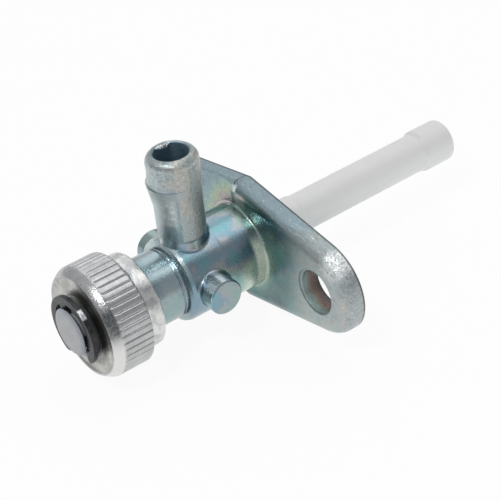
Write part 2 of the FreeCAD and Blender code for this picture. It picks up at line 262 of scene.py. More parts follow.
class Tree:  # a Geometry Nodes tree and its modifier inputs by name
    def __init__(self, name):
        self.group = bpy.data.node_groups.new(name, "GeometryNodeTree")
        self.group.interface.new_socket("Geometry", in_out="INPUT", socket_type="NodeSocketGeometry")
        self.group.interface.new_socket("Geometry", in_out="OUTPUT", socket_type="NodeSocketGeometry")
        self.values = {}
        self.entry = self.group.nodes.new("NodeGroupInput")
        self.exit = self.group.nodes.new("NodeGroupOutput")

    def size(self, name, value, kind="Float"):
        socket = self.group.interface.new_socket(name, in_out="INPUT", socket_type="NodeSocket" + kind)
        self.values[socket.identifier] = value
        return self.entry.outputs[name]

    def add(self, kind, settings=None, inputs=None, out=0):
        made = self.group.nodes.new(kind)
        for key, value in (settings or {}).items():
            setattr(made, key, value)
        for key, value in (inputs or {}).items():
            if isinstance(value, bpy.types.NodeSocket):
                self.group.links.new(value, made.inputs[key])
            else:
                made.inputs[key].default_value = value
        return made.outputs[out]

    def maths(self, operation, a, b=0.0):
        return self.add("ShaderNodeMath", {"operation": operation}, {0: a, 1: b})

    def end(self, geometry, material):
        real = self.add("GeometryNodeRealizeInstances", {}, {"Geometry": geometry})
        last = self.add("GeometryNodeSetMaterial", {}, {"Geometry": real, "Material": material})
        self.group.links.new(last, self.exit.inputs["Geometry"])

    def run(self, piece):
        modifier = piece.modifiers.new(self.group.name, "NODES")
        modifier.node_group = self.group
        for identifier, value in self.values.items():
            modifier[identifier] = value


# Camera: fitted to the rims and edges of the tap
lens = {"at": (176.193, -119.529, 143.871), "focal": 126.784, "sensor": 36.0, "near": 0.01, "far": 20,
        "right": (0.60909326, 0.78676861, -0.10000282), "up": (-0.40003139, 0.41364555, 0.8178461),
        "back": (0.68482136, -0.45814028, 0.56668086)}
cameraData = bpy.data.cameras.new("camera")
cameraData.lens = lens["focal"]
cameraData.sensor_width = lens["sensor"]
cameraData.clip_start = lens["near"]
cameraData.clip_end = lens["far"]
camera = addObject("camera", cameraData)
turn = Matrix((lens["right"], lens["up"], lens["back"])).transposed()
camera.matrix_world = Matrix.Translation(Vector(lens["at"]) * mm) @ turn.to_4x4()
bpy.context.scene.camera = camera
print("camera placed")


# Set: pale floor, soft lamps
studio = {
    "floor": (0.90, 0.90, 0.90), "floorReach": 1.5, "floorGlow": 0.93,
    "lamps": [  # name, place, size, watts
        ("topSoftbox", (0.02, 0.24, 0.52), 0.50, 0.62),
        ("keySoftbox", (0.13, -0.30, 0.52), 0.11, 1.00),
        ("leftSoftbox", (-0.42, 0.24, 0.36), 0.40, 0.22)],
    "skyLean": (-0.60, 0.10, 0.79),
    "sky": [(0.0, (0.50, 0.50, 0.50)), (0.50, (0.44, 0.45, 0.46)), (0.56, (0.33, 0.345, 0.36)),
            (0.66, (0.37, 0.385, 0.40)), (0.80, (0.52, 0.53, 0.54)), (1.0, (0.66, 0.67, 0.68))]}


def buildStage():
    lowest = cadBox[0].z
    reach = studio["floorReach"]
    white = (1, 1, 1, 1)
    mesh = bpy.data.meshes.new("floor")
    corners = [(-reach, -reach, lowest), (reach, -reach, lowest),
               (reach, reach, lowest), (-reach, reach, lowest)]
    mesh.from_pydata(corners, [], [(0, 1, 2, 3)])
    floor = addObject("floor", mesh)
    paper = Finish("paper")
    lit = paper.add("ShaderNodeBsdfDiffuse", {}, {"Color": (*studio["floor"], 1)})
    glow = paper.add("ShaderNodeEmission", {}, {"Color": white, "Strength": 1.0})
    both = paper.add("ShaderNodeMixShader", {}, (paper.backdropRays() * studio["floorGlow"], lit, glow))
    paper.add("ShaderNodeOutputMaterial", {}, {"Surface": both})
    mesh.materials.append(paper.material)
    for name, at, size, watts in studio["lamps"]:
        lamp = bpy.data.lights.new(name, "AREA")
        lamp.shape = "DISK"
        lamp.size = size
        lamp.energy = watts
        holder = addObject(name, lamp)
        holder.location = at
        holder.rotation_euler = (-Vector(at)).to_track_quat("-Z", "Y").to_euler()
    world = bpy.data.worlds.new("room")
    bpy.context.scene.world = world
    air = Finish("room", world)
    toward = air.add("ShaderNodeTexCoord", out="Generated")
    height = air.add("ShaderNodeVectorMath", {"operation": "DOT_PRODUCT"}, (toward, studio["skyLean"]), "Value")
    room = air.add("ShaderNodeBackground", {}, {"Color": air.ramp(height * 0.5 + 0.5, studio["sky"])})
    blank = air.add("ShaderNodeBackground", {}, {"Color": white})
    seen = air.add("ShaderNodeLightPath", out="Is Camera Ray")
    air.add("ShaderNodeOutputWorld", {}, {"Surface": air.add("ShaderNodeMixShader", {}, (seen, room, blank))})


buildStage()
bpy.context.scene.view_settings.view_transform = "Standard"
print("stage and lamps set")


# Zinc casting: blue-grey passivated, smooth on the turned parts, grained where it is as cast
castingSet = {
    "smooth": (0.245, 0.395, 0.405), "grained": (0.45, 0.505, 0.505), "warm": (0.52, 0.52, 0.48),
    "band": (0.27, 0.37, 0.42), "earEdge": (0.40, 0.44, 0.445), "bright": (0.52, 0.61, 0.635),
    "neck": (0.34, 0.395, 0.425), "groove": (0.66, 0.74, 0.78), "corner": (0.84, 0.88, 0.70),
    "deep": (0.10, 0.145, 0.16), "edgeShadow": (0.045, 0.05, 0.05), "bore": (0.34, 0.47, 0.55),
    "stepHighlight": (0.92, 0.93, 0.93), "stepFace": (0.62, 0.52, 0.50), "worn": (0.90, 0.92, 0.92),
    "paintedHighlight": (0.82, 0.85, 0.84),
    # colours along a way: of the passivation's film; from the root outward on both faces, partly the
    # passivation's tint and partly painted shade and painted reflection; and down the bolt hole, painted shade
    # that darkens deeper in
    "film": [(0.30, (0.17, 0.38, 0.38)), (0.40, (0.25, 0.44, 0.36)), (0.46, (0.40, 0.42, 0.34)),
             (0.52, (0.44, 0.38, 0.39)), (0.57, (0.26, 0.32, 0.42)), (0.66, (0.17, 0.38, 0.43))],
    "root": [(0.0, (0.30, 0.40, 0.34)), (0.05, (0.14, 0.23, 0.20)), (0.14, (0.025, 0.12, 0.115)),
             (0.28, (0.02, 0.10, 0.105)), (0.50, (0.03, 0.075, 0.09)), (1.0, (0.17, 0.23, 0.245))],
    "ear": [(0.0, (0.50, 0.44, 0.44)), (0.07, (0.52, 0.44, 0.43)), (0.15, (0.52, 0.58, 0.38)),
            (0.25, (0.38, 0.55, 0.47)), (0.40, (0.27, 0.39, 0.43)), (1.0, (0.27, 0.37, 0.41))],
    "hole": [(0.0, (0.34, 0.46, 0.45)), (0.30, (0.26, 0.32, 0.29)), (0.50, (0.22, 0.15, 0.12)),
             (0.75, (0.13, 0.10, 0.10)), (1.0, (0.09, 0.08, 0.08))],
    "smoothGloss": 0.27, "grainGloss": 0.38, "earGloss": 0.20,
    # places of features, directions as shares of the two ways, noises as scale, detail, roughness and warp
    "spigotY": -12.6, "holeX": 17.0, "flangeFront": -2.9, "partingX": -0.9, "earHighlightAt": (20.6, 5.6),
    "rootFrom": 6.6, "rootReach": 9.0,
    "partingAcross": (0.56, 0.83), "reflectionAcross": (0.857, 0.515), "shadeToward": (-0.8, -0.6),
    "noises": {"drift": (0.16, 1.5, 0.45, 0.4), "wave": (0.4, 1.0, 0.4), "cloud": (0.55, 3.0, 0.55),
               "stain": (1.5, 4.0, 0.6), "speck": (2.5, 2.5, 0.65), "pits": (3.4, 3.0, 0.6),
               "grain": (7.0, 2.0, 0.6)},
    # soft limits of the zones: what is measured, where the zone is 0 and where it is 1
    # the last three groups are kept to the flange, off it, and to the spigot
    "zones": {
        "spigot": [("z", 6.7, 7.5), ("spigotR", 4.7, 4.4)],
        "flange": [("y", -3.65, -3.15)],
        "partingSide": [("acrossParting", -0.15, 0.30)],
        "leftHalf": [("x", -1.0, -1.6)],
        "ears": [("sideways", 11.0, 16.0)],
        "earTip": [("x", 9.0, 13.0)],
        "backEdgeShadow": [("y", -0.34, -0.14), ("y", -0.004, -0.03), ("r", 7.5, 8.0)],
        "neck": [("y", -15.4, -16.0), ("r", 5.9, 5.7)],
        "neckTopHighlight": [("y", -17.0, -17.3), ("z", 0.5, 3.5), ("y", -21.2, -19.2)],
        "neckRimHighlight": [("y", -15.2, -15.8), ("y", -16.6, -16.3), ("z", 2.0, 4.2)],
        "neckGrooveLight": [("y", -17.15, -16.95), ("y", -16.2, -16.4), ("r", 5.35, 5.2)],
        "leftFace": [("y", -1.3, -1.7), ("y", -3.6, -3.3), ("x", -0.7, -1.3), ("r", 14.5, 9.0)],
        "spigotFootShade": [("z", 9.5, 8.0)],
        "ridge": [("toParting", 0.16, 0.02), ("z", 5.4, 6.0)]},
    "onFlange": {
        "edgeBand": [("y", -2.98, -2.45)],
        "farOut": [("r", 9.0, 15.5)],
        "hole": [("holeR", 3.46, 3.30), ("y", -2.95, -2.75)],
        "holeRimShade": [("holeR", 3.75, 3.60), ("holeR", 3.30, 3.45), ("rimShade", -0.6, 1.6)],
        "rightFaceShade": [("x", -1.3, -0.7), ("r", 17.0, 9.0)],
        "stepHighlight": [("y", -2.3, -2.6), ("x", -1.5, -1.1), ("x", 0.1, -0.3), ("z", 8.5, 9.0)],
        "stepShadow": [("y", -2.3, -2.6), ("x", -1.5, -1.1), ("x", 0.1, -0.3), ("z", 8.5, 8.1)],
        "besideStep": [("y", -2.7, -2.9), ("x", -0.4, 0.2), ("x", 2.6, 1.2), ("z", 6.4, 7.2), ("z", 9.2, 8.2)],
        "earHighlight": [("earHighlightR", 3.0, 0.8), ("y", -3.3, -3.0)]},
    "offFlange": {
        "bossHighlight": [("x", 6.9, 7.3), ("x", 9.15, 9.0), ("z", -1.0, 1.0)],
        "corner": [("y", -5.3, -4.6), ("r", 7.8, 7.2), ("z", 5.0, 2.5), ("x", 1.0, 3.0)],
        "lowBarrelReflection": [("y", -8.5, -6.0), ("z", 2.6, 0.6), ("x", 3.5, 4.5)],
        "lowHalf": [("x", -0.95, -0.80), ("z", 3.0, 5.5), ("y", -9.6, -9.0)]},
    "onSpigot": {
        "bore": [("spigotR", 2.75, 2.60)],
        "barb": [("z", 15.9, 16.2)],
        "reflectionStreak": [("z", 9.2, 10.6), ("z", 15.0, 13.4), ("acrossReflection", 1.7, 0.5)]}}


def castingPlaces(f, cloud):  # each zone's share at a point, and how far out on the flange the point is
    look = castingSet
    spigotY = f.y - look["spigotY"]
    holeX = f.away(f.x) - look["holeX"]
    highlightX, highlightZ = look["earHighlightAt"]
    measures = {
        "x": f.x, "y": f.y, "z": f.z, "r": f.far(f.x, f.z), "sideways": f.away(f.x),
        "spigotR": f.far(f.x, spigotY), "acrossParting": f.lean(f.x, spigotY, look["partingAcross"]),
        "acrossReflection": f.away(f.lean(f.x, spigotY, look["reflectionAcross"])),
        "holeR": f.far(holeX, f.z), "rimShade": f.lean(holeX, f.z, look["shadeToward"]),
        "earHighlightR": f.far(f.x - highlightX, f.z - highlightZ),
        "toParting": f.away(f.x - look["partingX"] + (cloud - 0.5) * 0.3)}
    on = f.zones(look["zones"], measures)
    parts = (on["flange"], "onFlange"), (1 - on["flange"], "offFlange"), (on["spigot"], "onSpigot")
    for part, group in parts:
        for name, share in f.zones(look[group], measures).items():
            on[name] = part * share
    on["band"] = on["flange"] * (on["edgeBand"] + (1 - on["edgeBand"]) * on["leftHalf"]).step(0.1, 0.9)
    skin = on["spigot"] * (0.45 + 0.55 * on["partingSide"]) + on["farOut"] * 0.75 + on["edgeBand"]
    on["grained"] = skin.step(0.05, 0.95)
    return on, (measures["r"] - look["rootFrom"]) / look["rootReach"]


def castingFinish():
    f = Finish("zincCasting")
    look = castingSet
    drift, wave, cloud, stain, speck, pits, grain = (f.noise(*values) for values in look["noises"].values())
    on, reach = castingPlaces(f, cloud)
    grained = on["grained"]
    # plating colour, warmer where it is grained, with the passivation's film over the smooth parts
    base = f.mix(grained, look["smooth"], f.mix(cloud.step(0.40, 0.62), look["grained"], look["warm"]))
    edges = f.mix(on["ears"], look["band"], look["earEdge"])
    film = f.ramp(drift * 0.75 + cloud * 0.25, look["film"])
    filmed = (1 - grained) * (0.30 + drift.step(0.45, 0.62) * 0.35) + 0.05
    # painted highlights: lighter colour on the neck's top, its front rim and the boss, where the lamps'
    # reflections fall
    paintedHighlightShare = on["neckTopHighlight"] * 0.6 + on["bossHighlight"] * 1.2 + on["neckRimHighlight"] * 1.1
    root = f.ramp(reach, look["root"])
    ear = f.ramp(reach * 0.9 + (cloud - 0.5) * 0.3, look["ear"])
    base = f.layers(base, [
        (on["band"] * 0.85, edges), (filmed, film), (on["neck"] * 0.50, look["neck"]),
        (paintedHighlightShare * 0.75, look["bright"]),
        # painted sheen: a bright yellowish reflection at the barrel's root by the flange and on the barrel's
        # low side, less metallic there
        (on["corner"] * (0.55 + cloud * 0.7), look["corner"]), (on["lowBarrelReflection"] * 0.5, look["corner"]),
        # painted light: the neck's ring grooves coloured lighter against their shade
        (on["neckGrooveLight"] * 0.60, look["groove"]),
        # painted shade on the right face, darkest by the barrel's root: partly the passivation's tint, partly a
        # painted dark reflection of the barrel
        (on["rightFaceShade"] * (1 - on["edgeBand"] * 0.9) * (0.48 + cloud * 0.4), root),
        # the left face's film hues, lighter near the root as a painted reflection
        (on["leftFace"] * 0.75, ear),
        # painted highlight on the step's upper corner and painted shadow at its foot
        (on["stepHighlight"] * 0.9, look["stepHighlight"]), (on["stepShadow"] * 0.6, look["deep"]),
        (on["besideStep"] * 0.75, look["stepFace"]), (on["barb"] * cloud.step(0.35, 0.60) * 0.6, look["warm"])])
    # painted highlight on the ear's rounded edge and a painted reflection streak up the spigot, with specks and
    # dirt in the grained skin
    earHighlight = on["earHighlight"] * (0.35 + pits.step(0.38, 0.55) * 0.65)
    specks = speck.step(0.63, 0.70) * grained * 0.45 + speck.step(0.52, 0.68) * on["barb"] * 0.22
    offParting = 1 - on["partingSide"]
    # painted shade: the spigot's smooth side darker, most at its foot by the flange
    paintedUnderside = on["spigot"] * offParting * (on["spigotFootShade"] * 0.35 + 0.10) * (1 - stain.step(0.5, 0.6) * 0.7)
    # painted reflection: a pale streak up the spigot's smooth side
    reflectionStreak = on["reflectionStreak"] * offParting * (0.40 + stain.step(0.45, 0.60) * 0.60)
    # painted shade: the bolt hole's wall darker and browner deeper in
    holeDepthShade = f.ramp((f.y - look["flangeFront"]) / -look["flangeFront"] + (cloud - 0.5) * 0.5, look["hole"])
    base = f.layers(base, [
        # painted highlight on the ear, with the specks
        (earHighlight + specks, look["worn"]), (speck.step(0.47, 0.34) * on["barb"] * 0.35, look["deep"]),
        # painted shade on one side of the bolt hole's rim
        (on["holeRimShade"] * 0.75, look["deep"]), (stain.step(0.46, 0.74) * (0.10 + 0.16 * grained), look["deep"]),
        (pits.step(0.42, 0.28) * (0.04 + 0.42 * grained), look["deep"]), (paintedUnderside, look["deep"]),
        # painted light: the spigot's bore coloured lighter and bluer against its shade
        (reflectionStreak, look["paintedHighlight"]), (on["hole"], holeDepthShade), (on["bore"], look["bore"]),
        # painted shadow: a thin dark line along the flange's back edge
        (on["backEdgeShadow"] * 0.85, look["edgeShadow"])])
    gloss = look["smoothGloss"] + (look["grainGloss"] - look["smoothGloss"]) * grained + (stain - 0.5) * 0.16
    gloss = gloss + (look["earGloss"] - look["grainGloss"]) * on["band"] * on["edgeBand"] * on["earTip"]
    # pits and grain under the parting ridge, which runs along the top of the barrel and up the spigot
    wavy = f.bump(wave, 0.30, 0.12)
    cast = f.bump(pits * (0.12 + 1.05 * grained) + grain * (0.12 + 0.60 * grained), 0.85, 0.11, wavy)
    normal = f.bump(on["ridge"] * (1 - on["spigot"]) * 0.8 + on["lowHalf"] * 0.6, 0.8, 0.14, cast)
    metal = 1.0 - on["hole"] * 0.5 - on["corner"] * 0.65
    return f.close(Base_Color=base, Metallic=metal, Roughness=gloss + on["bore"] * 0.15, Normal=normal)


dress("valve_body", castingFinish())


# Casting flash left in the spigot's mouth: degrees from +X, millimetres, and shares of the reach
flashSet = {"from": 148, "to": 204, "steps": 30, "rows": 4, "boreR": 2.56, "reach": 0.75, "top": 19.98,
            "deep": 0.75, "thick": 0.07, "axisY": -12.6, "seed": 7, "endSwell": 0.15,
            "tears": (0.15, 0.5, 0.8, 1.0), "drops": (0.35, 1.0), "bites": (0.6, 1.0),
            "ragged": (-0.05, 0.05), "crease": 18,
            "bright": (0.95, 0.96, 0.96), "grey": (0.06, 0.07, 0.075), "gloss": 0.35, "metal": 0.15,
            "patch": (3.0, 3.0, 0.7)}


def flashFinish():
    f = Finish("brokenZinc")
    look = flashSet
    patch = f.noise(*look["patch"])
    base = f.mix(patch.step(0.44, 0.50), look["grey"], look["bright"])
    gloss = look["gloss"] + (patch - 0.5) * 0.3
    return f.close(Base_Color=base, Metallic=look["metal"], Roughness=gloss, Normal=f.bump(patch, 0.5, 0.08))


def buildFlash(material):  # a torn skin along the rim, thin and closed
    form = flashSet
    chance = random.Random(form["seed"])
    rows = form["rows"]
    points = []
    for k in range(form["steps"] + 1):
        t = k / form["steps"]
        a = math.radians(form["from"] + (form["to"] - form["from"]) * t)
        swell = math.sin(math.pi * t) ** 0.5 if 0 < t < 1 else form["endSwell"]
        reach = form["reach"] * swell * chance.choice(form["tears"])
        drop = form["deep"] * swell * chance.uniform(*form["drops"])
        for side in (0, 1):
            for j in range(rows):
                u = j / (rows - 1)
                bite = reach * math.sin(u * math.pi) * chance.uniform(*form["bites"])
                r = form["boreR"] - bite - side * form["thick"]
                z = form["top"] - drop * u + chance.uniform(*form["ragged"]) * (0 < j)
                points.append((r * math.cos(a), form["axisY"] + r * math.sin(a), z))
    wide = rows * 2
    loop = list(range(rows)) + list(range(wide - 1, rows - 1, -1))  # out on one side, back on the other
    faces = []
    for k in range(form["steps"]):
        for here, after in zip(loop, loop[1:] + loop[:1]):
            faces.append((k * wide + here, k * wide + after, (k + 1) * wide + after, (k + 1) * wide + here))
    faces += [tuple(loop), tuple(form["steps"] * wide + i for i in reversed(loop))]
    flash = pieceFrom("castFlash", points, faces)
    sharpen(flash.data, form["crease"])
    flash.data.materials.append(material)
    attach(flash, "casting")


buildFlash(flashFinish())
print("casting dressed")


# Knob: bright turned aluminium
knobSet = {
    "bright": (0.54, 0.545, 0.545), "dull": (0.41, 0.415, 0.42), "rim": (0.80, 0.80, 0.78),
    "gap": (0.03, 0.035, 0.035), "pitAndReflection": (0.13, 0.14, 0.145), "face": (0.53, 0.53, 0.51),
    "stained": (0.40, 0.40, 0.37), "gloss": 0.29,
    "lines": 6.0, "darkReflectionAt": (7.0, 3.4), "cells": 7.0,
    "noises": {"patch": (0.8, 3.0, 0.55), "pitted": (3.2, 3.0, 0.65), "fine": (3.0, 2.0)},
    # soft limits of the zones, as for the casting
    "zones": {
        "chamfer": [("r", 7.45, 7.75), ("y", -29.2, -29.6)],
        "face": [("y", -30.3, -30.45), ("r", 7.5, 7.2)],
        "gap": [("r", 4.95, 4.6), ("y", -31.74, -31.66), ("y", -30.25, -30.42)],
        "clipShadow": [("r", 6.5, 5.2), ("x", -1.0, 2.0)],
        "darkReflection": [("darkReflectionR", 2.9, 1.2)],
        "collar": [("y", -24.2, -23.9)],
        "paintedUnderside": [("z", 2.5, -1.0)]},
    # the knurl: ribs round the knob, with grooves that run out before the chamfer
    "ribs": 48, "knurlR": 8.45, "knurlFront": -29.4, "grooveDepth": 0.115, "grooveHalf": 0.15,
    "ribSteps": (0.3, 0.6, 0.85, 1.15), "crownStep": 0.36, "crown": 0.03, "runOut": 0.5, "runOutFrom": 0.1,
    "ringStep": 0.42, "lastRing": -24.95, "gripSpan": (-29.45, -24.39), "gripFrom": 8.0, "crease": 34}


def knobFinish():
    f = Finish("turnedAluminium")
    look = knobSet
    r = f.far(f.x, f.z)
    reflectionX, reflectionZ = look["darkReflectionAt"]
    darkReflectionR = f.far(f.x - reflectionX, f.z - reflectionZ)
    on = f.zones(look["zones"], {"x": f.x, "y": f.y, "z": f.z, "r": r, "darkReflectionR": darkReflectionR})
    lines = f.noise(1.0, 3.0, 0.65, at=f.spot(r * look["lines"], f.y * look["lines"], 0.0))
    patch, pitted, fine = (f.noise(*values) for values in look["noises"].values())
    base = f.mix(patch.step(0.3, 0.7) * 0.5 + lines.step(0.35, 0.7) * 0.4, look["bright"], look["dull"])
    # painted shadow in the gap behind the clip and painted shadow of the clip on the face
    shade = on["gap"] * 0.35 + on["face"] * on["clipShadow"] * 0.55
    # painted dark reflection in a patch of the chamfer, broken up by the pitting
    darkReflection = on["darkReflection"] * on["chamfer"] * (0.68 + pitted.step(0.60, 0.40) * 0.32)
    # painted reflection: the chamfer's lower side lighter, and painted highlight patches on the collar
    rim = on["chamfer"] * on["paintedUnderside"] * 0.8 + on["collar"] * patch.step(0.35, 0.60) * 0.80
    base = f.layers(base, [
        (on["face"], f.mix(patch.step(0.35, 0.65), look["face"], look["stained"])), (shade, look["gap"]),
        (on["chamfer"] * pitted.step(0.50, 0.38) * 0.25 + darkReflection, look["pitAndReflection"]), (rim, look["rim"])])
    gloss = look["gloss"] + (lines - 0.5) * 0.20 + (patch - 0.5) * 0.12 + on["face"] * 0.06
    cut = f.bump(lines, 0.18, 0.03)
    worked = f.bump(f.cells(look["cells"]) * fine, 0.35, 0.04, cut)
    normal = f.bump(pitted * (0.30 + on["chamfer"] * 0.25), 0.7, 0.09, worked)
    return f.close(Base_Color=base, Metallic=1.0, Roughness=gloss, Normal=normal)


def knobOutline():  # round the knob's section, from the journal bore over the face, knurl and collar and back
    form = knobSet
    r, y = form["knurlR"], form["knurlFront"]
    p = [(3.60, -31.62), (3.68, -31.70), (4.30, -31.70), (4.44, -31.64), (4.50, -31.50),
         (4.50, -30.84), (4.62, -30.73)]
    p += [(5.2, -30.68), (5.8, -30.63), (6.4, -30.57), (7.0, -30.51)]
    p += arcRun(7.2, -30.5, 7.6, -30.85, -0.16, 5)
    p += arcRun(7.6, -30.85, r, y, -0.06, 10)
    while y < form["lastRing"]:
        y += form["ringStep"]
        p.append((r, y))
    p += [(r, -24.78), (8.40, -24.62), (8.24, -24.46), (8.05, -24.40), (7.60, -24.40), (7.42, -24.36)]
    p += [(7.34, -24.25), (7.16, -24.02), (7.10, -23.85), (7.10, -23.2), (7.10, -22.5), (7.10, -21.92)]
    p += arcRun(7.1, -21.9, 6.8, -21.6, -0.2, 4)
    p += [(6.2, -21.6), (5.66, -21.6), (5.58, -21.64), (5.40, -21.82), (5.38, -21.90),
          (5.38, -24.38), (5.36, -24.40)]
    p += [(4.82, -24.40), (4.80, -24.42), (4.80, -30.28), (4.78, -30.30), (3.62, -30.30), (3.60, -30.32)]
    return p


def buildKnob(material):
    form = knobSet
    across = math.pi / form["ribs"] * form["knurlR"]  # half a rib, measured along the knurl
    edge = form["grooveHalf"]
    steps = ([-across] + [-across + edge * share for share in form["ribSteps"]]
             + [-across * form["crownStep"], 0.0])
    steps += [-u for u in reversed(steps[:-1])]
    outline = knobOutline()
    gripFront, gripRear = form["gripSpan"]
    points = []
    for r, y in outline:
        for u in steps:
            toGroove = (across - abs(u)) / edge
            cut = form["grooveDepth"] * max(0.0, 1 - toGroove) + form["crown"] * (u / across) ** 2
            cut *= min(1.0, max(0.0, (y - form["knurlFront"] + form["runOutFrom"]) / form["runOut"]))
            onGrip = gripFront < y < gripRear and r > form["gripFrom"]
            points.append(around(min(r, form["knurlR"] - cut) if onGrip else r, y, u / form["knurlR"]))
    wide = len(steps)
    faces = []
    for i in range(len(outline)):
        j = (i + 1) % len(outline)
        faces += [(i * wide + k, i * wide + k + 1, j * wide + k + 1, j * wide + k) for k in range(wide - 1)]
    rib = pieceFrom("knobRib", points, faces)
    tree = Tree("knurlRound")
    count = tree.size("Rib Count", form["ribs"], "Int")
    spots = tree.add("GeometryNodePoints", {}, {"Count": count})
    share = tree.maths("DIVIDE", tree.add("GeometryNodeInputIndex"), count)
    turnY = tree.maths("MULTIPLY", share, 2 * math.pi)
    turned = tree.add("ShaderNodeCombineXYZ", {}, {"Y": turnY})
    blank = tree.entry.outputs[0]
    ribs = tree.add("GeometryNodeInstanceOnPoints", {},
                    {"Points": spots, "Instance": blank, "Rotation": turned})
    tree.end(ribs, material)
    tree.run(rib)
    knob = bakePiece(rib, "knurledKnob", form["crease"])
    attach(knob, "grip")
    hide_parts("knob")
    print("knob built:", len(knob.data.polygons), "faces")


buildKnob(knobFinish())


# Clip: black steel
clipSet = {
    "steel": (0.035, 0.037, 0.040), "worn": (0.11, 0.115, 0.12), "paintedHighlight": (0.80, 0.81, 0.83),
    "gloss": 0.34, "metal": 0.85,
    "noises": {"patch": (1.6, 4.0, 0.6), "grain": (9.0, 2.0, 0.5), "highlightBreakup": (2.6, 4.0, 0.7)},
    "highlightAcross": (0.59, -0.81), "highlightHalf": (0.95, 0.60), "rimFrom": (5.12, 5.19), "highlightSide": (0.0, 1.0),
    # the tip's arc and the wide end's corners, as distance and degrees from +X
    "grooveR": 3.7, "tipFrom": 236, "tipTo": 285, "tipRun": 22, "tipCut": 0.9, "tipCurve": 1.6,
    "front": -32.445, "back": -31.755,
    "wideEnd": [(3.38, 336), (3.38, 330), (3.70, 325), (4.08, 321.5), (4.60, 320.5), (4.75, 328), (4.60, 336)],
    "weldCrease": 30, "bevel": 0.09, "bevelSteps": 2, "bevelCrease": 40, "crease": 50}


def clipFinish():
    f = Finish("blackSteel")
    look = clipSet
    patch, grain, highlightBreakup = (f.noise(*values) for values in look["noises"].values())
    base = f.mix(patch.step(0.35, 0.75) * 0.6, look["steel"], look["worn"])
    # a painted highlight on the clip's outer rim, broken up by noise
    inHighlight = f.away(f.lean(f.z, f.x, look["highlightAcross"])).step(*look["highlightHalf"])
    onRim = f.far(f.x, f.z).step(*look["rimFrom"]) * (f.x + f.z).step(*look["highlightSide"])
    base = f.mix(inHighlight * onRim * highlightBreakup.step(0.28, 0.52), base, look["paintedHighlight"])
    gloss = look["gloss"] + (grain - 0.5) * 0.25
    return f.close(Base_Color=base, Metallic=look["metal"], Roughness=gloss, Normal=f.bump(grain, 0.2, 0.03))


def buildClip(material):  # the clip's own form with its stamped edges broken
    form = clipSet
    piece = addObject("clipBlank", nodes["e_clip"].data.copy())
    sharpen(piece.data, form["weldCrease"])
    # the arm's tip behind the plunger is rounded off
    inner = form["grooveR"] * mm
    for point in piece.data.vertices:
        r, turn = math.hypot(point.co.x, point.co.z), math.degrees(math.atan2(point.co.z, point.co.x)) % 360
        if form["tipFrom"] < turn < form["tipTo"] and r > inner:
            bend = min(1.0, (turn - form["tipFrom"]) / form["tipRun"]) ** form["tipCurve"]
            keep = 1 - form["tipCut"] * bend * (r - inner) / r
            point.co.x, point.co.z = point.co.x * keep, point.co.z * keep
    # the wide end of the other arm reaches in to the plunger's groove
    mesh = bmesh.new()
    mesh.from_mesh(piece.data)
    corners = [(r * mm, math.radians(turn)) for r, turn in form["wideEnd"]]
    front, back = ([mesh.verts.new((r * math.cos(a), y * mm, r * math.sin(a))) for r, a in corners]
                   for y in (form["front"], form["back"]))
    made = [mesh.faces.new(front), mesh.faces.new(back[::-1])]
    made += [mesh.faces.new((front[k - 1], front[k], back[k], back[k - 1])) for k in range(len(front))]
    bmesh.ops.recalc_face_normals(mesh, faces=made)
    mesh.to_mesh(piece.data)
    mesh.free()
    edges = piece.modifiers.new("edges", "BEVEL")
    edges.width = form["bevel"] * mm
    edges.segments = form["bevelSteps"]
    edges.limit_method = "ANGLE"
    edges.angle_limit = math.radians(form["bevelCrease"])
    clip = bakePiece(piece, "springClip", form["crease"])
    clip.data.materials.clear()
    clip.data.materials.append(material)
    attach(clip, "spindle")
    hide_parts("e_clip")
    print("clip built:", len(clip.data.polygons), "faces")


buildClip(clipFinish())


# Plunger: grey moulded plastic
plungerSet = {
    "plastic": (0.37, 0.38, 0.39), "pale": (0.43, 0.44, 0.45), "side": (0.27, 0.31, 0.37),
    "sideFrom": (3.0, 3.5), "gloss": 0.34, "bend": 1.5,
    "noises": {"patch": (0.7, 3.0, 0.5), "grain": (8.0, 2.0, 0.5)},
    "headR": 3.60, "flatR": 2.75, "front": -33.10, "edgeRise": 0.30, "edgeBulge": -0.09, "edgeSteps": 9,
    "headBack": -32.47, "grooveR": 2.5, "grooveBack": -31.73,
    "landR": 3.42, "sealR": 2.40, "sealWide": 1.30, "sealFronts": (-25.25, -20.55), "chamfer": 0.03,
    "sides": 128, "crease": 50}


def plungerFinish():
    f = Finish("greyPlastic")
    look = plungerSet
    patch, grain = (f.noise(*values) for values in look["noises"].values())
    base = f.mix(patch.step(0.3, 0.7), look["plastic"], look["pale"])
    # painted reflection of bluish light on the head's side wall
    base = f.mix(f.far(f.x, f.z).step(*look["sideFrom"]) * 0.7, base, look["side"])
    gloss = look["gloss"] + (grain - 0.5) * 0.15
    return f.close(Base_Color=base, Roughness=gloss, Normal=f.bump(grain, 0.12, 0.03), IOR=look["bend"])


